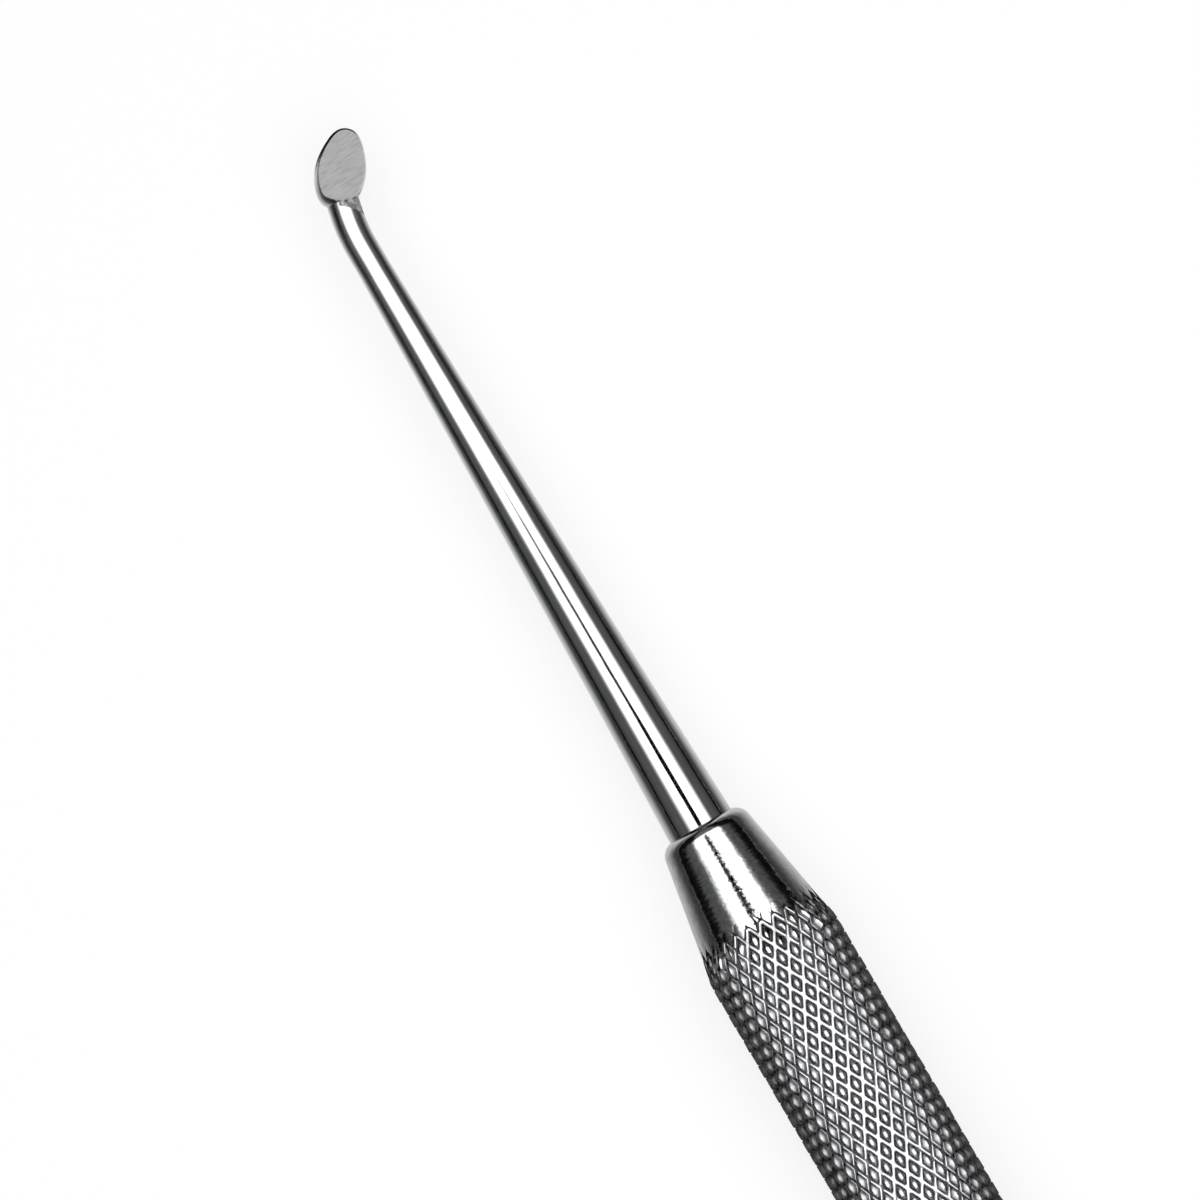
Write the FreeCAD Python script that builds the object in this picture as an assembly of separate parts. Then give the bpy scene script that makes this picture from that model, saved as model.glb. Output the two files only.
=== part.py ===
import FreeCAD, Part
import math
import os

# Wax carver: a round knurled steel handle with a turned nose, and a forged working tip whose
# tang is brazed into a socket in the nose. The tool lies on its handle. +X runs along the
# handle towards the blade, +Z is up and the blade's flat face looks up.
# The origin is on the table, under the middle of the tool. Lengths are in millimetres and
# angles in degrees. The sections below work from the mouth of the nose, at x = 0 on the axis,
# and place() moves the finished pieces to the origin.

# Handle
handle_length = 106.5  # butt face to the mouth of the nose
grip_diameter = 8.0  # over the knurl's crests
nose_length = 7.9  # mouth to where the bar reaches its full diameter
nose_wall = 0.5  # steel around the mouth, before the lip is rounded
lip_round = 0.88
butt_round = 1.2
butt_land = 14.6  # plain stretch at the butt, its rounded end included
relief_width = 1.0  # turned groove that the knurling wheels run out into
relief_clearance = 0.1  # how far the groove's floor lies under the knurl's roots
relief_chamfer = 0.2

# Diamond knurl, grooves at plus and minus this angle to the axis
knurl_angle = 30.0
knurl_pitch = 0.8  # from groove to groove, square to the groove
knurl_depth = 0.4  # crest to root
knurl_rise = 0.1  # how far the wheels raise the crests above the turned bar
runout_step = 0.02  # edge left where the grooves fade out on the nose

# Shank, neck and tang
shank_diameter = 3.85  # where it enters the nose
neck_diameter = 1.84
shank_length = 35.6  # mouth to the end of the taper
shank_hollow = 0.05  # how far the taper's middle curves in from straight
neck_length = 1.55  # straight neck from the taper to the bend
neck_bend = 12.0
neck_bend_radius = 10.0
neck_run = 1.53  # straight neck from the bend to the root of the blade
tang_length = 12.0
tang_chamfer = 0.4
braze_gap = 0.02  # radial, around the tang
socket_spare = 0.5  # left between the tang's end and the socket's shoulder
drill_point = 118.0  # full angle at the bottom of the socket
mouth_chamfer = 0.08

# Blade: an egg-shaped bud with a flat face ground across its upper half
blade_length = 4.6
blade_width = 2.82
egg_taper = 0.13  # share of its half width that the egg loses from the middle to the tip
egg_pinch = 0.11  # share that it loses halfway out to either end
egg_blunt = 0.27  # share that it gains close to either end
blade_root = 1.01  # end of the neck's axis to the middle of the blade
blade_lean = 27.6  # blade's long axis, from the neck's axis
face_height = 0.64  # flat face above the egg's axis, at the middle of the blade
face_roll = 8.0  # face falls away towards the side that the blade leans to
face_pitch = 5.4  # face falls away towards the tip
heel_reach = 1.82  # where the ground face ends, from the middle of the blade
heel_round = 1.5  # radius of that end, seen square to the face

# Facet ground into the side of the neck, behind the heel of the face
facet_roll = 36.0  # from straight up, about the neck's axis
facet_depth = 0.32
facet_start = 0.0  # from the end of the bend to the facet, along its middle line
facet_skew = 20.0  # the facet's near end slants back towards the handle on the low side

# Radii and stations that follow from the sizes above
grip_radius = grip_diameter / 2
bar_radius = grip_radius - knurl_rise
root_radius = grip_radius - knurl_depth
relief_radius = root_radius - relief_clearance
shank_radius = shank_diameter / 2
neck_radius = neck_diameter / 2
socket_radius = shank_radius + braze_gap
mouth_radius = socket_radius + mouth_chamfer
nose_radius = mouth_radius + nose_wall
nose_slope = (bar_radius - nose_radius) / nose_length
nose_angle = math.atan(nose_slope)
butt_x = -handle_length
knurl_start = butt_x + butt_land + relief_width
knurl_end = -(root_radius - nose_radius) / nose_slope
bend_x = shank_length + neck_length
egg_stations = 12

AXIS = FreeCAD.Vector(1, 0, 0)
CENTRE = FreeCAD.Vector(0, 0, 0)
UP = FreeCAD.Vector(0, 0, 1)
FULL_TURN = 360.0


def at(x, radius):
    """Point of a turning profile: a station along the axis and a radius."""
    return FreeCAD.Vector(x, 0, radius)


def straight(*points):
    """Edges that join the points of a profile."""
    return [Part.LineSegment(a, b).toShape() for a, b in zip(points, points[1:])]


def round_edge(start, end, centre):
    """Arc of a profile from start to end, on the far side of the centre."""
    radius = (start - centre).Length
    outward = (start - centre) + (end - centre)
    middle = centre + outward.normalize() * radius
    return [Part.Arc(start, middle, end).toShape()]


def turned_faces(edges):
    """Faces that a turning profile sweeps around the axis."""
    return Part.Wire(edges).revolve(CENTRE, AXIS, FULL_TURN).Faces


def nose_lip():
    """Where the lip's arc leaves the cone, and the arc's centre.

    The arc touches the cone's line and ends on the edge of the mouth, which lies `drop`
    inside that line.
    """
    drop = nose_wall * math.cos(nose_angle)
    setback = math.sqrt(drop * (2 * lip_round - drop))
    along = FreeCAD.Vector(math.cos(nose_angle), 0, -math.sin(nose_angle))
    inward = FreeCAD.Vector(-math.sin(nose_angle), 0, -math.cos(nose_angle))
    foot = at(0, mouth_radius) - inward * drop
    tangent = foot - along * setback
    return tangent, tangent + inward * lip_round


def butt_profile():
    """Butt face, rounded edge, plain land and relief groove, up to the knurl."""
    land_end = butt_x + butt_land
    face_edge = at(butt_x, bar_radius - butt_round)
    land_start = at(butt_x + butt_round, bar_radius)
    edges = straight(at(butt_x, 0), face_edge)
    edges += round_edge(face_edge, land_start, at(butt_x + butt_round, bar_radius - butt_round))
    edges += straight(
        land_start,
        at(land_end - relief_chamfer, bar_radius),
        at(land_end, bar_radius - relief_chamfer),
        at(land_end, relief_radius),
        at(knurl_start, relief_radius),
    )
    return edges


def nose_profile():
    """Plain cone, rounded lip and drilled socket, from the knurl to the socket's bottom."""
    tangent, lip_centre = nose_lip()
    mouth_edge = at(0, mouth_radius)
    shoulder = -(tang_length + socket_spare)
    point_length = socket_radius / math.tan(math.radians(drill_point / 2))
    edges = straight(at(knurl_end, root_radius), tangent)
    edges += round_edge(tangent, mouth_edge, lip_centre)
    edges += straight(
        mouth_edge,
        at(-mouth_chamfer, socket_radius),
        at(shoulder, socket_radius),
        at(shoulder - point_length, 0),
    )
    return edges


# Knurl lattice: rows along the axis and columns around it. Crests and groove crossings take
# turns along every row and every column.
columns = 2 * round(math.pi * grip_diameter * math.cos(math.radians(knurl_angle)) / knurl_pitch)
row_pitch = knurl_pitch / (2 * math.sin(math.radians(knurl_angle)))
rows = round((knurl_end - knurl_start) / row_pitch)
column_step = FULL_TURN / columns
crossing_reach = math.cos(math.radians(column_step / 2))
rest_height = grip_radius * crossing_reach


def is_crest(row, column):
    return (row + column) % 2 == 0


def crest_radius(x):
    """Crests follow the bar and then the cone, and lose their rise as the grooves fade out."""
    surface = min(bar_radius, nose_radius - nose_slope * x)
    share = (surface - root_radius) / (bar_radius - root_radius)
    return surface + knurl_rise * share


def lattice_point(row, column):
    """Point of the knurl. The lowest two columns of crests straddle the line that it rests on."""
    x = knurl_start + (knurl_end - knurl_start) * row / rows
    if row == rows:
        radius = root_radius / crossing_reach + runout_step
    elif is_crest(row, column):
        radius = crest_radius(x)
    else:
        radius = root_radius
    angle = math.radians((column + 0.5) * column_step)
    return FreeCAD.Vector(x, radius * math.sin(angle), -radius * math.cos(angle))


def knurl_faces():
    """Four flanks for each diamond, and two for the half diamonds at the ends."""
    points = [lattice_point(row, column) for row in range(rows + 1) for column in range(columns)]
    flanks = []
    for row in range(rows + 1):
        for column in range(columns):
            if not is_crest(row, column):
                continue
            crossings = [(row - 1, column), (row, column + 1), (row + 1, column), (row, column - 1)]
            for first, second in zip(crossings, crossings[1:] + crossings[:1]):
                if min(first[0], second[0]) < 0 or max(first[0], second[0]) > rows:
                    continue
                corners = [(row, column), first, second]
                flanks.append(tuple(r * columns + c % columns for r, c in corners))
    surface = Part.Shape()
    surface.makeShapeFromMesh((points, flanks), runout_step / 2, False)
    return surface.Faces


def knurl_end_ring(row, x, plain_radius):
    """Flat ring between the knurl's last row and the plain round beside it."""
    corners = [lattice_point(row, column) for column in range(columns + 1)]
    star = Part.makePolygon(corners[:-1] + corners[:1])
    circle = Part.Wire(Part.makeCircle(plain_radius, at(x, 0), AXIS))
    return Part.makeFace([star, circle], "Part::FaceMakerBullseye").Faces


def make_handle():
    """Knurled bar with its turned nose, socket and butt, as one closed shell."""
    faces = turned_faces(butt_profile())
    faces += knurl_end_ring(0, knurl_start, relief_radius)
    faces += knurl_faces()
    faces += knurl_end_ring(rows, knurl_end, root_radius)
    faces += turned_faces(nose_profile())
    return Part.makeSolid(Part.makeShell(faces))


def make_shank():
    """Tang and tapered shank, up to the bend."""
    # A curve with one pole between its ends passes halfway between that pole and the chord.
    taper_pole = at(shank_length / 2, (shank_radius + neck_radius) / 2 - 2 * shank_hollow)
    mouth = at(0, shank_radius)
    taper_end = at(shank_length, neck_radius)
    tang_end = -tang_length
    edges = straight(
        at(tang_end, 0),
        at(tang_end, shank_radius - tang_chamfer),
        at(tang_end + tang_chamfer, shank_radius),
        mouth,
    )
    taper = Part.BezierCurve()
    taper.setPoles([mouth, taper_pole, taper_end])
    edges.append(taper.toShape())
    edges += straight(taper_end, at(bend_x, neck_radius), at(bend_x, 0), at(tang_end, 0))
    return Part.Face(Part.Wire(edges)).revolve(CENTRE, AXIS, FULL_TURN)


def heading(angle):
    """Direction in the blade's plane, turned from +X towards -Y."""
    turn = math.radians(angle)
    return FreeCAD.Vector(math.cos(turn), -math.sin(turn), 0)


def make_neck():
    """Bent neck, the straight run that enters the blade, and the point between them."""
    section = Part.Face(Part.Wire(Part.makeCircle(neck_radius, at(bend_x, 0), AXIS)))
    pivot = FreeCAD.Vector(bend_x, -neck_bend_radius, 0)
    bend = section.revolve(pivot, -UP, neck_bend)
    bend_end = pivot + heading(neck_bend - 90.0) * neck_bend_radius
    run = Part.makeCylinder(neck_radius, neck_run, bend_end, heading(neck_bend))
    return bend, run, bend_end


def swell(share):
    """Share of an ellipse's half width that the egg has, from -1 at its heel to 1 at its tip."""
    return 1 - egg_taper * share - egg_pinch * share**2 + egg_blunt * share**4


def make_bud(centre, along):
    """Egg-shaped bud, turned around the blade's long axis. Its stations are angles from the heel."""
    half_across = UP.cross(along) * (blade_width / 2)
    turns = [math.pi * station / egg_stations for station in range(egg_stations + 1)]
    outline = []
    for turn in turns:
        share = -math.cos(turn)
        reach = along * (blade_length / 2 * share)
        outline.append(centre + reach + half_across * (math.sin(turn) * swell(share)))
    curve = Part.BSplineCurve()
    curve.interpolate(
        outline,
        Parameters=turns,
        InitialTangent=half_across * swell(-1),
        FinalTangent=-half_across * swell(1),
        Scale=False,
    )
    closing = Part.LineSegment(outline[-1], outline[0])
    profile = Part.Wire([curve.toShape(), closing.toShape()])
    return Part.Face(profile).revolve(centre, along, FULL_TURN)


def face_directions(along):
    """Directions of the ground face: towards the tip, towards the low side and its normal."""
    fall_aside = along.cross(UP) * math.tan(math.radians(face_roll))
    fall_to_tip = along * math.tan(math.radians(face_pitch))
    normal = (UP + fall_aside + fall_to_tip).normalize()
    to_tip = (along - normal * along.dot(normal)).normalize()
    return to_tip, to_tip.cross(normal), normal


def ground_space(centre, along, below):
    """Space that the grinding clears over the face, straight-sided and round at the heel.

    It starts `below` under the face.
    """
    to_tip, aside, normal = face_directions(along)
    floor = centre + UP * face_height - normal * below
    heel_centre = floor - to_tip * (heel_reach - heel_round)
    left, right = heel_centre - aside * heel_round, heel_centre + aside * heel_round
    heel = Part.Arc(left, heel_centre - to_tip * heel_round, right).toShape()
    run = to_tip * blade_length
    outline = Part.Wire([heel] + straight(right, right + run, left + run, left))
    return Part.Face(outline).extrude(normal * (below + blade_length))


def facet_space(bend_end, blade_middle, along):
    """Space that the facet clears beside the neck's crown, up to the heel of the face."""
    forward = heading(neck_bend)
    roll = math.radians(facet_roll)
    normal = UP * math.cos(roll) + forward.cross(UP) * math.sin(roll)
    slant = forward * math.tan(math.radians(facet_skew))
    aside = (forward.cross(normal) - slant) * neck_diameter
    start = bend_end + forward * facet_start + normal * (neck_radius - facet_depth)
    run = forward * neck_run
    corners = [start - aside, start + aside, start + aside + run, start - aside + run]
    outline = Part.makePolygon(corners + corners[:1])
    block = Part.Face(outline).extrude(normal * neck_diameter)
    return block.cut(ground_space(blade_middle, along, blade_length))


def make_working_tip():
    """Tang, shank, neck and blade: one forging with ground flats."""
    bend, run, bend_end = make_neck()
    neck_end = bend_end + heading(neck_bend) * neck_run
    along = heading(neck_bend + blade_lean)
    blade_middle = neck_end + along * blade_root
    forging = make_shank().fuse([bend, run, make_bud(blade_middle, along)])
    face = ground_space(blade_middle, along, 0)
    facet = facet_space(bend_end, blade_middle, along)
    return forging.cut([face, facet]).removeSplitter().Solids[0]


def place(pieces):
    """Moves the pieces so that the origin is on the table, under the middle of the tool."""
    box = pieces["working_tip"].optimalBoundingBox()
    middle_x = (butt_x + box.XMax) / 2
    for piece in pieces.values():
        piece.translate(FreeCAD.Vector(-middle_x, 0, rest_height))
    return middle_x


pieces = {"handle": make_handle(), "working_tip": make_working_tip()}
middle_x = place(pieces)
os.makedirs("parts", exist_ok=True)
for name, piece in pieces.items():
    piece.exportStep(f"parts/{name}.step")
    print(f"{name}: {piece.Volume:.1f} mm3, {len(piece.Faces)} faces")

print(f"knurl: {columns // 2} diamonds around, {rows} rows")
print(f"butt face at x {butt_x - middle_x:.3f}, axis at z {rest_height:.4f}")
print(f"plain land from x {butt_x + butt_round - middle_x:.3f}")
print(f"to x {butt_x + butt_land - relief_chamfer - middle_x:.3f}, radius {bar_radius:.3f}")
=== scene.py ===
# %% [markdown]
# # A wax carver in knurled and polished steel
#
# A wax carver is a slim steel hand tool. This one has a round handle with a diamond knurl, a nose
# turned to a cone, a tapered shank, and a small egg-shaped blade with a flat face ground across it.
# The engineering model gives the exact size and place of both pieces. The cells below load it,
# rebuild each piece as a finer mesh in the same place, and give every surface its steel.

import math
import random

import bmesh
import bpy
from mathutils import Matrix, Vector


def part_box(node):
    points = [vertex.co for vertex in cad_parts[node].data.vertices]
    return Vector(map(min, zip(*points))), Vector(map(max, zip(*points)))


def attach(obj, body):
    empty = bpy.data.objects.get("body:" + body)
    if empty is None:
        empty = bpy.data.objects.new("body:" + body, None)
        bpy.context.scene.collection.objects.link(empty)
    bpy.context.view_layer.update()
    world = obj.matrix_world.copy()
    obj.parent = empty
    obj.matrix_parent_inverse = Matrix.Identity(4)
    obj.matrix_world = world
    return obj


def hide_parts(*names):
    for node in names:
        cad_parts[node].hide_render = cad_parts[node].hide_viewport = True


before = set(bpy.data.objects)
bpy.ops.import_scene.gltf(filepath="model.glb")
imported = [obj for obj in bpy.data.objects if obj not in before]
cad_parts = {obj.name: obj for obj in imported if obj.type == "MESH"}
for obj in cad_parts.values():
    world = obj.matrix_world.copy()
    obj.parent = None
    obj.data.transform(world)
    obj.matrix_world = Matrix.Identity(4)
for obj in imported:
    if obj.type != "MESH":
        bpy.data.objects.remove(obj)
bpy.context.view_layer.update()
print("pieces:", sorted(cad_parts))

# %% [markdown]
# ## Where things are
#
# The pieces are drawn in millimetres from the middle of the nose's mouth, with +X towards the
# blade, because a workshop drawing would start there. One matrix then takes them to metres and to
# the place that the model gives them, so nothing is fitted by eye.

# %% Places read from the model
MM = 0.001
handle_low, handle_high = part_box("handle")
tip_end_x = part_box("working_tip")[1].x
mouth_x = handle_high.x
axis_z = (handle_low.z + handle_high.z) / 2
to_place = Matrix.Translation((mouth_x, 0, axis_z)) @ Matrix.Scale(MM, 4)

handle_length = (handle_high.x - handle_low.x) / MM
crest_circle = handle_high.y / MM
print(f"handle {handle_length:.1f} mm long, {2 * crest_circle:.2f} mm over the crests")

# %% [markdown]
# ## Drawing a turned piece
#
# A lathe makes round things from a profile. The mesh is made in the same way: a ring of points is
# carried from station to station along the profile, and each pair of rings is joined with faces.
# Keeping the rings' angles lets a turned stretch grow straight out of the knurl's edge.


# %% Rings, arcs and finished meshes
def add_ring(mesh, x, radius, angles):
    """Points around the axis at one station."""
    return [mesh.verts.new((x, radius * math.sin(a), -radius * math.cos(a))) for a in angles]


def join_rings(mesh, first, second):
    """Faces between two rings with as many points."""
    for k in range(len(first)):
        following = (k + 1) % len(first)
        mesh.faces.new((first[k], first[following], second[following], second[k]))


def turn_profile(mesh, ring, angles, profile):
    """Carries a ring along (x, radius) stations, and closes it where the radius is 0."""
    for x, radius in profile:
        if radius == 0:
            centre = mesh.verts.new((x, 0, 0))
            for k in range(len(ring)):
                mesh.faces.new((ring[k], ring[(k + 1) % len(ring)], centre))
        else:
            following = add_ring(mesh, x, radius, angles)
            join_rings(mesh, ring, following)
            ring = following


def arc(centre, radius, start, end, steps):
    """(x, radius) stations on a rounded edge, at angles from the outward direction towards +X."""
    turns = [math.radians(start + (end - start) * k / steps) for k in range(steps + 1)]
    return [(centre[0] + radius * math.sin(t), centre[1] + radius * math.cos(t)) for t in turns]


def mark_creases(mesh, crease, start=-math.inf, end=math.inf):
    """Keeps edges between two stations crisp where they are sharper than the crease."""
    for edge in mesh.edges:
        if start < edge.verts[0].co.x < end:
            edge.smooth = edge.calc_face_angle(0) < math.radians(crease)


def finished_piece(mesh, name):
    """Places a mesh as a smooth object that breaks at its creases."""
    bmesh.ops.recalc_face_normals(mesh, faces=mesh.faces)
    for face in mesh.faces:
        face.smooth = True
    data = bpy.data.meshes.new(name)
    mesh.to_mesh(data)
    mesh.free()
    data.transform(to_place)
    piece = bpy.data.objects.new(name, data)
    bpy.context.scene.collection.objects.link(piece)
    return piece


# %% [markdown]
# ## The diamond knurl
#
# A knurling tool rolls two sets of grooves into the bar, at plus and minus 30 degrees to the axis.
# What stays between them is a field of diamonds. A texture could only suggest that, and the
# outline and the glints would be wrong, so each diamond is modelled: a flat crest, four steep
# flanks and the rounded floors of the grooves. Two counters, `along` and `across`, number the
# grooves of each set, and a point's height is whichever groove or surface is lowest there. The
# crests stay a hundredth of a millimetre inside the engineering model's sharp ones.
#
# From the middle of one diamond to the middle of a groove is half a pitch. `crest_share` and
# `floor_share` say how much of the pitch the flat crest and the rounded floor take there, and the
# flank fills what is left between them.

# %% Sizes of the knurl and the nose
knurl_angle = math.radians(30)
groove_pitch = 0.8
starts = round(2 * math.pi * crest_circle * math.cos(knurl_angle) / groove_pitch)
columns = 2 * starts

crest_margin = 0.01
crest_radius = crest_circle - crest_margin
floor_radius = 3.6
floor_dish = 0.012
crest_share = 0.22
floor_share = 0.13
flank_slope = (crest_radius - floor_radius - floor_dish) / (0.5 - crest_share - floor_share)

bar_radius = 3.9
nose_length = 7.9
nose_radius = 2.525
cone_slope = (bar_radius - nose_radius) / nose_length
land_length = 14.6
relief_width = 1.0
knurl_start = -handle_length + land_length + relief_width
fade_out = -(floor_radius - nose_radius) / cone_slope
plain_rim = 0.5
knurl_end = fade_out + plain_rim
rows = round((fade_out - knurl_start) * 2 * math.sin(knurl_angle) / groove_pitch)
row_pitch = (fade_out - knurl_start) / rows
print(f"knurl: {starts} starts, {rows} rows from {knurl_start:.1f} to {fade_out:.1f} mm")

# %% [markdown]
# No two diamonds of a rolled knurl are quite alike. Each groove is a little deeper or shallower
# than its neighbour, which also makes the edge ragged where the knurl runs out on the cone, and
# each crest is burnished at its own slight tilt. The random numbers are seeded, so that the handle
# is the same every time.
#
# On the cone the grooves grow shallow. A crest ends where its flank meets the surface, so the
# crests widen there. The wheel bites at least `bite_depth` deep up to its end, and each groove then
# stops over the short `bite_run`, which gives the knurl its jagged edge.

# %% Height of the knurled surface
chance = random.Random(7)
groove_depth_spread = 0.018
crest_tilt = 0.03
tilted_above = floor_radius + 0.1
groove_offsets = [[chance.gauss(0, groove_depth_spread) for _ in range(starts)] for _ in "ab"]
bite_depth = 0.25
bite_run = 0.12
bite_lead = 0.08
bite_start = fade_out + bite_lead
line_shares = (-0.5, -0.5 + floor_share, -crest_share, crest_share, 0.5 - floor_share)
lines = len(line_shares)


def plain_radius(x):
    """Radius of the bar and the cone before knurling, with the crests that the wheels raise."""
    surface = min(bar_radius, nose_radius - cone_slope * x)
    raised = (surface - floor_radius) / (bar_radius - floor_radius)
    return surface + (crest_radius - bar_radius) * max(0.0, raised)


def groove_radius(line, family, plain, x):
    """Share from the diamond's middle, and the radius there, on one line across the grooves."""
    cell, kind = divmod(line, lines)
    share = line_shares[kind]
    groove = (cell if share < 0 else cell + 1) % starts
    bitten = (bite_start - x) / bite_run
    floor = plain - bite_depth * min(max(bitten, 0.0), 1.0)
    if bitten > 0:
        floor = min(floor, floor_radius + groove_offsets[family][groove])
    from_floor = 0.5 - abs(share)
    if abs(share) == crest_share:
        flank = max(0.0, plain - floor - floor_dish) / flank_slope
        from_floor = min(floor_share + flank, 0.5)
        share = math.copysign(0.5 - from_floor, share)
    if from_floor <= floor_share:
        return cell + share, floor + floor_dish * (from_floor / floor_share) ** 2
    return cell + share, floor + floor_dish + flank_slope * (from_floor - floor_share)


def knurl_point(along, across):
    """Station, angle and radius where a line of one set of grooves crosses one of the other."""
    nominal = [line // lines + line_shares[line % lines] for line in (along, across)]
    x = knurl_start + row_pitch * sum(nominal)
    plain = plain_radius(x)
    p, first = groove_radius(along, 0, plain, x)
    q, second = groove_radius(across, 1, plain, x)
    x = knurl_start + row_pitch * (p + q)
    burnish = chance.uniform(-crest_tilt, 0.0)
    radius = min(plain_radius(x) + burnish * (plain > tilted_above), first, second)
    return x, math.radians((p - q + 0.5) * 360 / columns), radius


# %% [markdown]
# The lines wrap around the bar: after a whole turn, a point has `starts` more grooves of one set
# and `starts` fewer of the other. The points are kept in a dictionary under their counters, so
# that faces on both sides of that joint find the same points. The field of diamonds is made a
# little too long, and a flat cut at each end trims it, as the turner does with a relief groove.
# Where two flanks meet, their face is folded along the ridge or the valley between them.

# %% The knurled sleeve
flank_kinds = {1, 3}
rounding = 1e-9
cut_thickness = 1e-7
cut_tolerance = 1e-4
least_spacing = 0.04


def wrapped(along, across):
    """The same point, with its column between 0 and a full turn."""
    column = (along - across) / lines
    turns = math.floor(column / columns + rounding)
    return along - turns * starts * lines, across + turns * starts * lines


def knurled_sleeve(mesh):
    """Adds the diamonds to a mesh, from one row before the knurl's start to one past its end."""
    points = {}

    def point(along, across):
        key = wrapped(along, across)
        if key not in points:
            x, angle, radius = knurl_point(*key)
            points[key] = mesh.verts.new((x, radius * math.sin(angle), -radius * math.cos(angle)))
        return points[key]

    last_row = (knurl_end - knurl_start) / row_pitch + 1
    for diagonal in range(-lines, math.ceil(last_row * lines) + 1):
        for across in range((diagonal - columns * lines) // 2 - 1, diagonal // 2 + 2):
            along = diagonal - across
            if wrapped(along, across) != (along, across):
                continue
            corners = [point(along + i, across + j) for i, j in ((0, 0), (1, 0), (1, 1), (0, 1))]
            kinds = along % lines, across % lines
            if set(kinds) <= flank_kinds:
                turn = 0 if kinds[0] == kinds[1] else 1
                a, b, c, d = corners[turn:] + corners[:turn]
                mesh.faces.new((a, b, c))
                mesh.faces.new((a, c, d))
            else:
                mesh.faces.new(corners)


def trim(mesh, x, outward):
    """Cuts a mesh flat at a station, and gives the cut's points in order around the axis."""
    plane = {"plane_co": (x, 0, 0), "plane_no": (outward, 0, 0), "dist": cut_thickness}
    everything = mesh.verts[:] + mesh.edges[:] + mesh.faces[:]
    bmesh.ops.bisect_plane(mesh, geom=everything, clear_outer=True, **plane)

    def edge_points():
        rim = [edge for edge in mesh.edges if edge.is_boundary]
        return {v for edge in rim for v in edge.verts if abs(v.co.x - x) < cut_tolerance}

    bmesh.ops.remove_doubles(mesh, verts=list(edge_points()), dist=least_spacing)
    ring = sorted(edge_points(), key=lambda v: math.atan2(v.co.y, -v.co.z))
    return ring, [math.atan2(v.co.y, -v.co.z) for v in ring]


handle_mesh = bmesh.new()
knurled_sleeve(handle_mesh)
butt_ring, butt_angles = trim(handle_mesh, knurl_start, -1)
nose_ring, nose_angles = trim(handle_mesh, knurl_end, 1)
for point in nose_ring:
    true_round = plain_radius(knurl_end) / math.hypot(point.co.y, point.co.z)
    point.co.y, point.co.z = point.co.y * true_round, point.co.z * true_round
edges = f"edges of {len(butt_ring)} and {len(nose_ring)} points"
print(f"knurl: {len(handle_mesh.faces)} faces, {edges}")

# %% [markdown]
# ## The nose and the butt
#
# From the knurl's two edges the bar goes on as turned work. The nose is a cone with a well
# rounded lip and a drilled socket for the shank. The butt has a relief groove, a plain land and a
# rounded end. Short stretches next to each edge keep the shading of the knurl and of the rounded
# edges from bleeding into the long plain surfaces.

# %% Turn the nose and the butt
lip_round = 0.88
socket_radius = 1.945
mouth_radius = 2.025
socket_depth = 12.5
drill_point_length = 1.17
shade_stop = 0.12
cone_stations = (knurl_end + shade_stop, -5.0, -3.0, -1.2)
bore_station = -1.0
edge_steps = 14

cone_angle = math.atan(cone_slope)
lip_drop = (nose_radius - mouth_radius) * math.cos(cone_angle)
lip_setback = math.sqrt(lip_drop * (2 * lip_round - lip_drop))
lip_start = (
    lip_drop * math.sin(cone_angle) - lip_setback * math.cos(cone_angle),
    mouth_radius + lip_drop * math.cos(cone_angle) + lip_setback * math.sin(cone_angle),
)
lip_centre = (
    lip_start[0] - lip_round * math.sin(cone_angle),
    lip_start[1] - lip_round * math.cos(cone_angle),
)
lip_end = math.degrees(math.atan2(-lip_centre[0], mouth_radius - lip_centre[1]))


def on_cone(x):
    """Station and radius on the nose's cone."""
    return x, nose_radius - cone_slope * x


nose_profile = [on_cone(x) for x in cone_stations]
nose_profile += arc(lip_centre, lip_round, math.degrees(cone_angle), lip_end, edge_steps)
nose_profile += [
    (-(mouth_radius - socket_radius), socket_radius),
    (bore_station, socket_radius),
    (-socket_depth, socket_radius),
    (-socket_depth - drill_point_length, 0),
]
turn_profile(handle_mesh, nose_ring, nose_angles, nose_profile)

butt_round = 1.2
relief_radius = 3.5
relief_chamfer = 0.2
land_end = knurl_start - relief_width
butt_x = -handle_length
butt_profile = [
    (knurl_start, relief_radius),
    (land_end, relief_radius),
    (land_end, bar_radius - relief_chamfer),
    (land_end - relief_chamfer, bar_radius),
    (land_end - relief_chamfer - shade_stop, bar_radius),
    (butt_x + butt_round + shade_stop, bar_radius),
]
butt_centre = (butt_x + butt_round, bar_radius - butt_round)
butt_profile += arc(butt_centre, butt_round, 0, -90, edge_steps)
butt_profile += [(butt_x, bar_radius - butt_round - shade_stop), (butt_x, 0)]
turn_profile(handle_mesh, butt_ring, butt_angles, butt_profile)

turned_crease = 32
knurl_crease = 80
mark_creases(handle_mesh, turned_crease)
mark_creases(handle_mesh, knurl_crease, knurl_start, knurl_end)
handle = finished_piece(handle_mesh, "handle_steel")
print(f"handle: {len(handle.data.polygons)} faces")

# %% [markdown]
# ## The shank and the blade
#
# The working tip is one forging. Its shank is drawn as rings along a centre line: the tang in the
# socket, the taper, a short bend to one side and the neck that runs into the blade. The blade
# starts as an egg turned around its own axis. Joining the two with an exact boolean, and then
# cutting the flats with plain blocks, is what the grinder does, and the edges come out crisp.

# %% Shank, bend and neck
shank_radius = 1.925
neck_radius = 0.92
taper_length = 35.6
taper_hollow = 0.05
neck_length = 1.55
bend_angle = 12.0
bend_radius = 10.0
neck_run = 1.53
tang_length = 12.0
tang_chamfer = 0.4
around = 128


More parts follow.
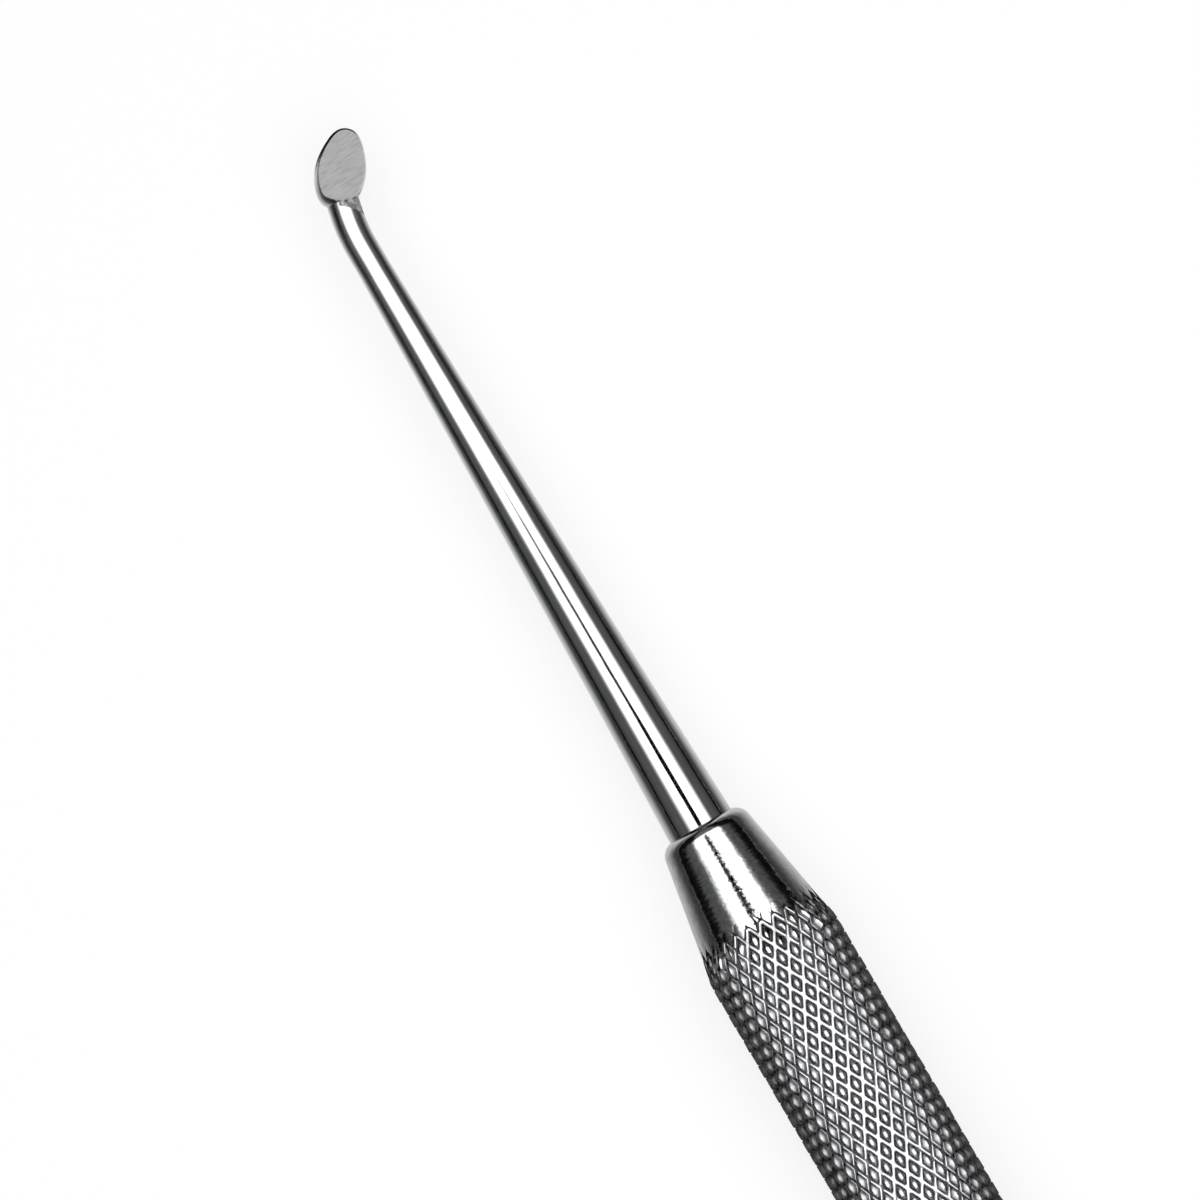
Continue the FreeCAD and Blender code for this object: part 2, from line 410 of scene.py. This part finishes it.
def shank_stations():
    """(centre, heading in degrees, radius) from the tang's end to the neck's end in the blade."""
    yield (-tang_length, 0), 0, shank_radius - tang_chamfer
    yield (-tang_length + tang_chamfer, 0), 0, shank_radius
    yield (-shade_stop, 0), 0, shank_radius
    steps = 60
    pole = (shank_radius + neck_radius) / 2 - 2 * taper_hollow
    for k in range(steps + 1):
        t = k / steps
        radius = (1 - t) ** 2 * shank_radius + 2 * t * (1 - t) * pole + t**2 * neck_radius
        yield (taper_length * t, 0), 0, radius
    bend_x = taper_length + neck_length
    bend_steps = 16
    for k in range(bend_steps + 1):
        turn = math.radians(bend_angle) * k / bend_steps
        centre = (bend_x + bend_radius * math.sin(turn), -bend_radius * (1 - math.cos(turn)))
        yield centre, math.degrees(turn), neck_radius
    turn = math.radians(bend_angle)
    run_steps = 8
    for k in range(1, run_steps + 1):
        run = neck_run * k / run_steps
        end = (centre[0] + run * math.cos(turn), centre[1] - run * math.sin(turn))
        yield end, bend_angle, neck_radius


def heading(angle):
    """Direction in the plane of the blade's lean, turned from +X towards -Y."""
    turn = math.radians(angle)
    return Vector((math.cos(turn), -math.sin(turn), 0))


UP = Vector((0, 0, 1))
shank = bmesh.new()
ring = None
for centre, direction, radius in shank_stations():
    middle, side = Vector((*centre, 0)), UP.cross(heading(direction))
    turns = [2 * math.pi * k / around for k in range(around)]
    spokes = [math.sin(a) * side - math.cos(a) * UP for a in turns]
    following = [shank.verts.new(middle + radius * spoke) for spoke in spokes]
    if ring is None:
        shank.faces.new(following)
    else:
        join_rings(shank, ring, following)
    ring = following
shank.faces.new(ring)
neck_end = middle
print(f"shank: {len(shank.faces)} faces, neck ends at {neck_end.x:.2f}, {neck_end.y:.2f} mm")

# %% [markdown]
# The egg's outline is an ellipse whose width is swollen or pinched by a short formula: fuller
# close to both ends, and narrower towards the tip. Spacing the stations by angle puts them close
# together where the outline turns quickly.

# %% The egg-shaped bud
blade_length = 4.59
blade_width = 2.82
egg_taper = 0.13
egg_pinch = 0.11
egg_blunt = 0.27
blade_root = 1.01
blade_lean = 27.6

blade_heading = heading(bend_angle + blade_lean)
blade_middle = neck_end + blade_heading * blade_root


def egg_station(turn):
    """Distance from the blade's middle and radius there, for an angle from the heel to the tip."""
    share = -math.cos(turn)
    swell = 1 - egg_taper * share - egg_pinch * share**2 + egg_blunt * share**4
    return blade_length / 2 * share, blade_width / 2 * math.sin(turn) * swell


egg_steps = 64
bud = bmesh.new()
stations = [egg_station(math.pi * k / egg_steps) for k in range(1, egg_steps)]
egg_angles = [2 * math.pi * k / around for k in range(around)]
ring = add_ring(bud, *stations[0], egg_angles)
heel = bud.verts.new((-blade_length / 2, 0, 0))
for k in range(around):
    bud.faces.new((ring[(k + 1) % around], ring[k], heel))
turn_profile(bud, ring, egg_angles, stations[1:] + [(blade_length / 2, 0)])
lean = Matrix.Rotation(math.atan2(blade_heading.y, blade_heading.x), 4, "Z")
bmesh.ops.transform(bud, matrix=Matrix.Translation(blade_middle) @ lean, verts=bud.verts)
print(f"bud: {len(bud.faces)} faces around {blade_middle.x:.2f}, {blade_middle.y:.2f} mm")

# %% [markdown]
# Two flats are ground on the tip. The blade's face falls away slightly to one side and towards
# the tip, and ends in a round heel. Behind it, a rougher facet was ground across the side of the
# neck. Each cutter below is the space that the grinding wheel cleared.

# %% The spaces that the grinding cleared
face_height = 0.64
face_roll = 8.0
face_pitch = 5.4
heel_reach = 1.82
heel_round = 1.5
heel_steps = 32
facet_roll = 36.0
facet_depth = 0.32
facet_skew = 32.0
clearance = 5.0


def prism(outline, rise):
    """Straight block over an outline."""
    block = bmesh.new()
    base = [block.verts.new(p) for p in outline]
    top = [block.verts.new(p + rise) for p in outline]
    block.faces.new(base)
    block.faces.new(list(reversed(top)))
    join_rings(block, base, top)
    return block


fall = blade_heading.cross(UP) * math.tan(math.radians(face_roll))
face_normal = (UP + fall + blade_heading * math.tan(math.radians(face_pitch))).normalized()
to_tip = (blade_heading - face_normal * blade_heading.dot(face_normal)).normalized()
aside = to_tip.cross(face_normal)
face_middle = blade_middle + UP * face_height


def face_outline(floor):
    """Outline of the ground face: straight sides past the blade, and a round end at the heel."""
    heel_centre = floor - to_tip * (heel_reach - heel_round)
    outline = [floor + aside * heel_round + to_tip * clearance]
    for k in range(heel_steps + 1):
        turn = math.pi * k / heel_steps
        spoke = math.cos(turn) * aside - math.sin(turn) * to_tip
        outline.append(heel_centre + heel_round * spoke)
    outline.append(floor - aside * heel_round + to_tip * clearance)
    return outline


face_cutter = prism(face_outline(face_middle), face_normal * clearance)

forward = heading(bend_angle)
facet_tilt = math.radians(facet_roll)
facet_normal = UP * math.cos(facet_tilt) + forward.cross(UP) * math.sin(facet_tilt)
facet_border = forward.cross(facet_normal) - forward * math.tan(math.radians(facet_skew))
facet_aside = facet_border * clearance
facet_start = neck_end - forward * neck_run + facet_normal * (neck_radius - facet_depth)
facet_cutter = prism(
    [
        facet_start - facet_aside,
        facet_start + facet_aside,
        facet_start + facet_aside + forward * neck_run,
        facet_start - facet_aside + forward * neck_run,
    ],
    facet_normal * neck_radius * 2,
)
keeper_outline = face_outline(face_middle - face_normal * clearance)
face_keeper = prism(keeper_outline, face_normal * clearance * 2)
print(f"face cutter: {len(face_cutter.faces)} faces, facet cutter: {len(facet_cutter.faces)} faces")

# %% [markdown]
# The shank and the bud are joined first, and the two spaces are then cut away. The facet stops
# where the ground face begins, so the space of the face is kept out of the facet's cutter. Each
# cutter carries its own surface, and the boolean hands that surface to the faces that it makes.


# %% Join and cut the forging
def boolean(target, other, operation):
    """Applies a boolean modifier between two objects and removes the second one."""
    step = target.modifiers.new(operation.lower(), "BOOLEAN")
    step.object, step.operation, step.solver = other, operation, "EXACT"
    step.material_mode = "TRANSFER"
    evaluated = target.evaluated_get(bpy.context.evaluated_depsgraph_get())
    result = bpy.data.meshes.new_from_object(evaluated)
    target.modifiers.clear()
    target.data = result
    bpy.data.objects.remove(other)


shank_surface = bpy.data.materials.new("polished_forged_stainless_steel")
face_surface = bpy.data.materials.new("wheel_ground_stainless_steel")
facet_surface = bpy.data.materials.new("rough_ground_stainless_steel")


def forging_part(mesh, name, surface):
    """A mesh as an object that carries one surface, for the booleans."""
    part = finished_piece(mesh, name)
    part.data.materials.append(surface)
    return part


facet_space = forging_part(facet_cutter, "facet_space", facet_surface)
boolean(facet_space, forging_part(face_keeper, "face_keeper", facet_surface), "DIFFERENCE")

tip = forging_part(shank, "working_tip_steel", shank_surface)
boolean(tip, forging_part(bud, "bud", shank_surface), "UNION")
boolean(tip, forging_part(face_cutter, "face_space", face_surface), "DIFFERENCE")
boolean(tip, facet_space, "DIFFERENCE")
forging_crease = 24
tip.data.shade_smooth()
tip.data.set_sharp_from_angle(angle=math.radians(forging_crease))
print(f"working tip: {len(tip.data.polygons)} faces")
print("its surfaces:", [surface.name for surface in tip.data.materials])

# %% [markdown]
# ## Steel
#
# Every surface of the tool is the same stainless steel. What tells them apart is how each was
# finished: turned, knurled, polished or ground. Colours are written as sRGB hex values, as a
# designer would note them, and one function turns them to the linear values that Blender uses.
# One more function adds a node, with its settings and what is plugged into it.


# %% Colours and nodes
def linear(hex_colour):
    """Linear RGBA from an sRGB hex value."""
    values = [int(hex_colour[k : k + 2], 16) / 255 for k in (1, 3, 5)]
    return (*[v / 12.92 if v <= 0.04045 else ((v + 0.055) / 1.055) ** 2.4 for v in values], 1)


def add_node(tree, kind, settings=None, inputs=None, stops=None):
    """Adds a node. Inputs take a value or another node's output, and a ramp takes grey stops."""
    made = tree.nodes.new(kind)
    for name, value in (settings or {}).items():
        setattr(made, name, value)
    for socket, value in (inputs or {}).items():
        if isinstance(value, bpy.types.NodeSocket):
            tree.links.new(value, made.inputs[socket])
        else:
            made.inputs[socket].default_value = value
    for k, (position, level) in enumerate((stops or {}).items()):
        elements = made.color_ramp.elements
        stop = elements[k] if k < 2 else elements.new(position)
        stop.position, stop.color = position, (level, level, level, 1)
    return made


# %% [markdown]
# Each finish is worked out in the same way. The tool or wheel leaves marks, which are noise drawn
# out along the way that it moved. They vary the roughness, and a little bump makes them catch the
# light. Broad clouds of the same noise vary the shade, or the marks do it themselves. `marks` holds
# the stretch along each axis, the marks to a metre and the noise's detail. `shades` and
# `roughness` hold the two ends that the noise mixes, and `relief` holds the bump's strength and
# its height in millimetres.

# %% One recipe for every steel finish
noise_low, noise_high = 0.3, 0.7


def finish_steel(surface, marks, shades, roughness, relief, clouds=None, turn=0.0):
    """Gives a surface its steel, and returns the nodes that a finish may build on."""
    surface.use_nodes = True
    tree = surface.node_tree
    tree.nodes.clear()
    stretch, scale, detail = marks
    place = add_node(tree, "ShaderNodeTexCoord").outputs["Object"]
    way = add_node(tree, "ShaderNodeMapping", None, {"Vector": place, "Rotation": (0, 0, turn)})
    drawn = add_node(tree, "ShaderNodeMapping", None, {"Vector": way.outputs[0], "Scale": stretch})
    fine = {"Vector": drawn.outputs[0], "Scale": scale, "Detail": detail}
    noise = add_node(tree, "ShaderNodeTexNoise", None, fine).outputs["Fac"]
    shading = noise
    if clouds:
        broad = {"Vector": place, "Scale": clouds, "Detail": detail}
        shading = add_node(tree, "ShaderNodeTexNoise", None, broad).outputs["Fac"]
    limits = {"From Min": noise_low, "From Max": noise_high, "Value": shading}
    mixed = add_node(tree, "ShaderNodeMapRange", None, limits).outputs["Result"]
    ends = {"Factor": mixed, "A": linear(shades[0]), "B": linear(shades[1])}
    colour = add_node(tree, "ShaderNodeMix", {"data_type": "RGBA"}, ends)
    limits.update({"Value": noise, "To Min": roughness[0], "To Max": roughness[1]})
    gloss = add_node(tree, "ShaderNodeMapRange", None, limits).outputs["Result"]
    look = {"Metallic": 1.0, "Base Color": colour.outputs[2], "Roughness": gloss}
    if relief:
        bump = {"Height": noise, "Strength": relief[0], "Distance": relief[1] * MM}
        look["Normal"] = add_node(tree, "ShaderNodeBump", None, bump).outputs["Normal"]
    shader = add_node(tree, "ShaderNodeBsdfPrincipled", None, look)
    add_node(tree, "ShaderNodeOutputMaterial", None, {"Surface": shader.outputs["BSDF"]})
    return tree, shader, place, gloss


# %% [markdown]
# ### Polished forged steel
#
# The shank was ground, then polished along its length on a felt wheel. It mirrors the studio in
# long clean bands, and the faint drag of the polish softens their edges, more so towards the
# blade. The streaks on the real one are a few micrometres apart. They are drawn a tenth of a
# millimetre apart, to show at all.

# %% Shank surface
mouth_polish = 0.05
blade_polish = 0.24
tree, shader, place, gloss = finish_steel(
    shank_surface,
    marks=((0.04, 1, 1), 9000, 3.0),
    shades=("#CBCCCE", "#D8D9DB"),
    roughness=(-0.02, 0.03),
    relief=(0.12, 0.01),
    clouds=700,
)
parts = add_node(tree, "ShaderNodeSeparateXYZ", None, {"Vector": place})
mouth_to_tip = {
    "Value": parts.outputs["X"],
    "From Min": mouth_x,
    "From Max": tip_end_x,
    "To Min": mouth_polish,
    "To Max": blade_polish,
}
polish = add_node(tree, "ShaderNodeMapRange", None, mouth_to_tip).outputs["Result"]
total = add_node(tree, "ShaderNodeMath", {"operation": "ADD"}, {0: polish, 1: gloss})
tree.links.new(total.outputs[0], shader.inputs["Roughness"])
print(f"{shank_surface.name}: {len(tree.nodes)} nodes")

# %% [markdown]
# ### Turned and polished bar
#
# The nose and the butt come from the lathe. A pass of fine cloth leaves them bright, with faint
# rings around the axis, and a slight mottle that makes the edges of every reflection uneven. The
# cutter's feed was about 0.05 mm a turn, and the rings are drawn about four times as coarse.

# %% Turned surface
turned_surface = bpy.data.materials.new("turned_polished_stainless_steel")
finish_steel(
    turned_surface,
    marks=((1, 0.5, 0.5), 5200, 2.0),
    shades=("#BEBFC1", "#D6D7D9"),
    roughness=(0.07, 0.14),
    relief=(0.4, 0.03),
    clouds=2600,
)
print(f"{turned_surface.name}: {len(turned_surface.node_tree.nodes)} nodes")

# %% [markdown]
# ### Knurled bar
#
# Rolling presses the steel rather than cutting it, so the grooves and crests are burnished and
# glint. A fine grain from the wheels breaks up the glints. It is a few hundredths of a millimetre
# fine, and drawn at about 0.2 mm. The steep flanks of the diamonds are another matter. Their
# colour is painted shade: dark over their lower part, fading to light steel towards their upper
# edges. That draws a black ring around every crest.

# %% Knurled surfaces
knurled_surface = bpy.data.materials.new("knurled_stainless_steel")
finish_steel(
    knurled_surface,
    marks=((1, 1, 1), 5200, 1.0),
    shades=("#BFC0C2", "#D3D4D6"),
    roughness=(0.22, 0.34),
    relief=(0.25, 0.02),
    clouds=420,
)
# The flanks' dark shades below are painted shade, not a coating on the steel.
shaded_flank_surface = bpy.data.materials.new("knurl_flank_stainless_steel_with_painted_shade")
tree, shader, place, _ = finish_steel(
    shaded_flank_surface,
    marks=((1, 1, 1), 4200, 1.0),
    shades=("#2E2E2F", "#6C6C6E"),
    roughness=(0.3, 0.5),
    relief=None,
)
# Below the first radius the flanks carry the full painted shade, and above the second they are
# plain light steel.
painted_shade_top = 3.76
painted_shade_gone_at = 3.88
lowered = {0: place, 1: (0, 0, axis_z)}
from_axis = add_node(tree, "ShaderNodeVectorMath", {"operation": "SUBTRACT"}, lowered)
flattened = {0: from_axis.outputs[0], 1: (0, 1, 1)}
spoke = add_node(tree, "ShaderNodeVectorMath", {"operation": "MULTIPLY"}, flattened)
radius = add_node(tree, "ShaderNodeVectorMath", {"operation": "LENGTH"}, {0: spoke.outputs[0]})
upper_edge = {
    "Value": radius.outputs["Value"],
    "From Min": painted_shade_top * MM,
    "From Max": painted_shade_gone_at * MM,
}
shade_fade = add_node(tree, "ShaderNodeMapRange", None, upper_edge).outputs["Result"]
# The dark noise colour is the painted shade, mixed towards light steel near the crests.
painted_flank_shade = shader.inputs["Base Color"].links[0].from_socket
ends = {"Factor": shade_fade, "A": painted_flank_shade, "B": linear("#AEAFB1")}
colour = add_node(tree, "ShaderNodeMix", {"data_type": "RGBA"}, ends)
tree.links.new(colour.outputs[2], shader.inputs["Base Color"])
print(f"{shaded_flank_surface.name}: film up to {painted_shade_top} mm, gone at {painted_shade_gone_at} mm")

# %% [markdown]
# ### Ground face and rough facet
#
# A grinding wheel crossed the blade and left fine parallel scratches in a satin grey. They are
# about 0.05 mm apart, and drawn at about 0.13 mm to show at all. The facet on the neck was only
# touched up by hand, and has a blotchy, uneven surface.

# %% Ground surfaces
scratch_angle = -3.3
finish_steel(
    face_surface,
    marks=((1, 0.05, 1), 7500, 4.0),
    shades=("#7D7D7D", "#A6A6A6"),
    roughness=(0.42, 0.6),
    relief=(0.5, 0.04),
    turn=math.radians(scratch_angle),
)
finish_steel(
    facet_surface,
    marks=((1, 1, 1), 4200, 5.0),
    shades=("#A8A8A8", "#F0F0F0"),
    roughness=(0.45, 0.75),
    relief=(0.8, 0.08),
)
print(f"{face_surface.name}: scratches at {scratch_angle} degrees across the tool")

# %% [markdown]
# The handle is one bar with three surfaces. Outside the knurl a face is turned. Within it, steep
# faces are flanks with painted shade, faces that the grooves on the cone have hardly touched are
# turned, and the other crests and floors are burnished.

# %% Give the pieces their surfaces
for surface in (knurled_surface, turned_surface, shaded_flank_surface):
    handle.data.materials.append(surface)
knurled_finish, turned_finish, shaded_flank_finish = range(3)
flank_steepness = math.radians(30)
hardly_touched = bite_depth / 3
for polygon in handle.data.polygons:
    x = (polygon.center.x - mouth_x) / MM
    outward = Vector((0, polygon.center.y, polygon.center.z - axis_z))
    if not knurl_start < x < knurl_end:
        polygon.material_index = turned_finish
    # Steep faces take the flanks' painted shade.
    elif polygon.normal.angle(outward, 0) > flank_steepness:
        polygon.material_index = shaded_flank_finish
    elif x > -nose_length and outward.length / MM > plain_radius(x) - hardly_touched:
        polygon.material_index = turned_finish
    else:
        polygon.material_index = knurled_finish
flanks = [p for p in handle.data.polygons if p.material_index == shaded_flank_finish]
print(f"handle: {len(flanks)} of {len(handle.data.polygons)} faces are shade_painted flanks")

pieces = ((handle, "handle", "knurled_steel"), (tip, "working_tip", "polished_steel"))
for piece, node, slot in pieces:
    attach(piece, "root")
    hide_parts(node)

# %% [markdown]
# ## The studio
#
# Polished metal shows what is around it, so the studio makes the picture. The tool lies on a
# white table inside a light tent. The tent is brightest straight above and falls off to dark
# walls, which draws the bright stripe and the dark bands on every round surface. The tent and
# the cards stay out of the camera's sight, as a photographer would keep them out of the frame.
#
# The table's laminate is matt, so it takes the soft shadow of the tool. To the camera and to the
# metal it is also lit from behind, which keeps the ground of the picture close to pure white.

# %% White table
table_radius = 0.5
table_sides = 96
table_mesh = bmesh.new()
bmesh.ops.create_circle(table_mesh, cap_ends=True, radius=table_radius, segments=table_sides)
table_data = bpy.data.meshes.new("table")
table_mesh.to_mesh(table_data)
table_mesh.free()
table = bpy.data.objects.new("table", table_data)
bpy.context.scene.collection.objects.link(table)

table_surface = bpy.data.materials.new("white_laminate")
table_surface.use_nodes = True
tree = table_surface.node_tree
tree.nodes.clear()
white = linear("#FFFFFF")
paint = add_node(tree, "ShaderNodeBsdfDiffuse", None, {"Color": linear("#F4F4F4")})
backlight = add_node(tree, "ShaderNodeEmission", None, {"Color": white, "Strength": 1.0})
path = add_node(tree, "ShaderNodeLightPath")
seen = path.outputs["Is Camera Ray"]
for kind in ("Is Glossy Ray", "Is Transmission Ray"):
    either = {0: seen, 1: path.outputs[kind]}
    seen = add_node(tree, "ShaderNodeMath", {"operation": "MAXIMUM"}, either).outputs[0]
table_glow = 0.8
glow = add_node(tree, "ShaderNodeMath", {"operation": "MULTIPLY"}, {0: seen, 1: table_glow})
layers = {0: glow.outputs[0], 1: paint.outputs[0], 2: backlight.outputs[0]}
laminate = add_node(tree, "ShaderNodeMixShader", None, layers)
add_node(tree, "ShaderNodeOutputMaterial", None, {"Surface": laminate.outputs[0]})
# Bounced rays find so large a glow by themselves, and aiming more rays at it only costs time.
table_surface.cycles.emission_sampling = "NONE"
table.data.materials.append(table_surface)
print(f"table: {2 * table_radius:.1f} m across, glow {table_glow}")

# %% [markdown]
# The tent is a half dome of thin cloth, lit from outside over the tool and left dark at the sides.
# Two tables give its glow by the angle from straight up in degrees, one across the tool and one
# along it, and the two are multiplied. The bright part is set a little off the middle.


# %% Light tent
def hide_from_camera(thing, lights_room):
    """Keeps a studio piece out of the picture, and lets it light matt surfaces if it should."""
    thing.visible_camera = False
    thing.visible_diffuse = lights_room
    thing.visible_shadow = False
    thing.visible_transmission = lights_room


tent_radius = 0.45
tent_grid = {"u_segments": 64, "v_segments": 48}
tent_mesh = bmesh.new()
bmesh.ops.create_uvsphere(tent_mesh, radius=tent_radius, **tent_grid)
below = [v for v in tent_mesh.verts if v.co.z < -MM]
bmesh.ops.delete(tent_mesh, geom=below, context="VERTS")
tent_data = bpy.data.meshes.new("light_tent")
tent_mesh.to_mesh(tent_data)
tent_mesh.free()
tent = bpy.data.objects.new("light_tent", tent_data)
bpy.context.scene.collection.objects.link(tent)

tent_surface = bpy.data.materials.new("lit_tent_cloth")
tent_surface.use_nodes = True
tree = tent_surface.node_tree
tree.nodes.clear()
place = add_node(tree, "ShaderNodeTexCoord").outputs["Object"]
parts = add_node(tree, "ShaderNodeSeparateXYZ", None, {"Vector": place})

off_centre = 0.055
across_glow = {0: 1.0, 33: 1.0, 38.5: 0.4, 44: 0.1, 49: 0.05}
across_glow.update({61: 0.052, 70: 0.042, 79: 0.03, 90: 0.03})
along_glow = {0: 1.0, 40: 1.0, 50: 0.1, 90: 0.03}
tent_strength = 2.2

centred = {0: parts.outputs["Z"], 1: off_centre, 2: parts.outputs["Y"]}
leaned = add_node(tree, "ShaderNodeMath", {"operation": "MULTIPLY_ADD"}, centred)
strength = tent_strength
for sideways, levels in ((leaned.outputs[0], across_glow), (parts.outputs["X"], along_glow)):
    spread = add_node(tree, "ShaderNodeMath", {"operation": "ABSOLUTE"}, {0: sideways})
    sides = {0: spread.outputs[0], 1: parts.outputs["Z"]}
    angle = add_node(tree, "ShaderNodeMath", {"operation": "ARCTAN2"}, sides)
    quarter = {0: angle.outputs[0], 1: math.pi / 2}
    share = add_node(tree, "ShaderNodeMath", {"operation": "DIVIDE"}, quarter)
    stops = {degrees / 90: level for degrees, level in levels.items()}
    ramp = add_node(tree, "ShaderNodeValToRGB", None, {"Fac": share.outputs[0]}, stops)
    dimmed = {0: ramp.outputs["Color"], 1: strength}
    strength = add_node(tree, "ShaderNodeMath", {"operation": "MULTIPLY"}, dimmed).outputs[0]
shine = add_node(tree, "ShaderNodeEmission", None, {"Color": white, "Strength": strength})
add_node(tree, "ShaderNodeOutputMaterial", None, {"Surface": shine.outputs[0]})
tent_surface.cycles.emission_sampling = "NONE"
tent.data.materials.append(tent_surface)
hide_from_camera(tent, lights_room=True)
print(f"tent: {2 * tent_radius:.1f} m across, {len(tent_data.polygons)} faces")

# %% [markdown]
# A black card shapes the reflections further. It hangs over the nose, where the lens looks in, and
# draws the thin dark line down the middle of the bright stripe.


# %% Black card
paper_roughness = 0.9


def flat_card(name, corners, surface):
    """A flat card that only mirrors in polished metal."""
    mesh = bpy.data.meshes.new(name)
    mesh.from_pydata([Vector(c) * MM for c in corners], [], [tuple(range(len(corners)))])
    card = bpy.data.objects.new(name, mesh)
    card.location = (mouth_x, 0, 0)
    bpy.context.scene.collection.objects.link(card)
    card.data.materials.append(surface)
    hide_from_camera(card, lights_room=False)


def card_colour(name, hex_colour):
    """Matt paper of one shade."""
    surface = bpy.data.materials.new(name)
    surface.use_nodes = True
    shader = surface.node_tree.nodes["Principled BSDF"]
    shader.inputs["Base Color"].default_value = linear(hex_colour)
    shader.inputs["Roughness"].default_value = paper_roughness
    shader.inputs["Specular IOR Level"].default_value = 0.0
    return surface


black_card = card_colour("black_matt_paper", "#0C0C0C")
dark_card = card_colour("dark_matt_paper", "#606060")

lens_height = 44.0
lens_edge = {2: 4.8, 9: 4.8, 11: 3.8, 21: 3.8, 30: 0}
lens_left = [(x, half_width, lens_height) for x, half_width in lens_edge.items()]
lens_right = [(x, -half_width, height) for x, half_width, height in reversed(lens_left[:-1])]
flat_card("black_card_lens", lens_left + lens_right, black_card)
print(f"black card: {len(lens_left + lens_right)} corners, {lens_height} mm over the table")

# %% [markdown]
# The undersides of the round steel mirror the table close by. Sheets of grey and black paper lie
# there, so that the outlines stand out against the white. Under the shank the paper is graded,
# from light at the middle to nearly black, by the distance to the side in millimetres. Like the
# other cards they show in polished metal alone.

# %% Paper under the tool
graded_card = card_colour("graded_matt_paper", "#B4B4B4")
graded_width = 90.0
paper_tones = {2: 0.9, 5: 0.66, 8: 0.44, 12: 0.24, 17: 0.13, 24: 0.08, 40: 0.05}
tree = graded_card.node_tree
place = add_node(tree, "ShaderNodeTexCoord").outputs["Object"]
parts = add_node(tree, "ShaderNodeSeparateXYZ", None, {"Vector": place})
beside = add_node(tree, "ShaderNodeMath", {"operation": "ABSOLUTE"}, {0: parts.outputs["Y"]})
width = {0: beside.outputs[0], 1: graded_width * MM}
share = add_node(tree, "ShaderNodeMath", {"operation": "DIVIDE"}, width)
stops = {distance / graded_width: tone for distance, tone in paper_tones.items()}
shade = add_node(tree, "ShaderNodeValToRGB", None, {"Fac": share.outputs[0]}, stops)
tree.links.new(shade.outputs["Color"], tree.nodes["Principled BSDF"].inputs["Base Color"])

paper_lift = 0.02
paper_reach = 320.0
paper_start = -300.0
graded_start = -6.2
graded_end = 47.0
paper_end = 200.0
tip_paper = {"start": 43.8, "end": 60.0, "right": -12.0, "left": 2.5}


def paper(name, surface, start, end, right=-paper_reach, left=paper_reach, lift=paper_lift):
    """A sheet on the table between two stations."""
    corners = [(start, right, lift), (start, left, lift), (end, left, lift), (end, right, lift)]
    flat_card(name, corners, surface)


paper("dark_paper_handle", dark_card, paper_start, graded_start)
paper("graded_paper_shank", graded_card, graded_start, graded_end)
paper("dark_paper_end", dark_card, graded_end, paper_end)
paper("black_paper_tip", black_card, lift=2 * paper_lift, **tip_paper)
print(f"papers: from {paper_start} to {paper_end} mm, graded under the shank")

# %% [markdown]
# Around the table the room is plain white. A low view that looks past the table's edge then keeps
# the same white ground.

# %% World
world = bpy.data.worlds.new("studio_room")
bpy.context.scene.world = world
world.use_nodes = True
background = world.node_tree.nodes["Background"]
background.inputs["Color"].default_value = white
background.inputs["Strength"].default_value = 1.0
world.cycles.sampling_method = "NONE"
print("room: plain white")

# %% [markdown]
# ## The camera
#
# The photograph looks almost straight down through a long lens, from a little towards the butt,
# so the rings on the nose bulge slightly towards the blade. The camera's place follows from the
# width of the picture, the angle of the tool across it, and the point of the tool in its middle.

# %% Camera
picture_width = 66.3
camera_distance = 600.0
sensor_width = 36.0
clip_near, clip_far = 0.01, 10.0
tilt_to_butt = 3.0
tool_direction = Vector((-0.5053, 0.8630))
aim_x, aim_y = 13.62, -1.514
target = Vector((mouth_x + aim_x * MM, aim_y * MM, axis_z))

camera_data = bpy.data.cameras.new("camera")
camera_data.sensor_width = sensor_width
camera_data.lens = sensor_width * camera_distance / picture_width
camera_data.clip_start = clip_near
camera_data.clip_end = clip_far
camera = bpy.data.objects.new("camera", camera_data)
bpy.context.scene.collection.objects.link(camera)

tilt = math.radians(tilt_to_butt)
back = Vector((-math.sin(tilt), 0, math.cos(tilt)))
along_tool = Vector((math.cos(tilt), 0, math.sin(tilt)))
beside_tool = back.cross(along_tool)
right = along_tool * tool_direction.x - beside_tool * tool_direction.y
up = back.cross(right)
turned = Matrix((right, up, back)).transposed().to_4x4()
camera.matrix_world = Matrix.Translation(target + back * camera_distance * MM) @ turned
bpy.context.scene.camera = camera
bpy.context.scene.view_settings.view_transform = "Standard"
print(f"lens {camera_data.lens:.0f} mm, picture {picture_width} mm wide")
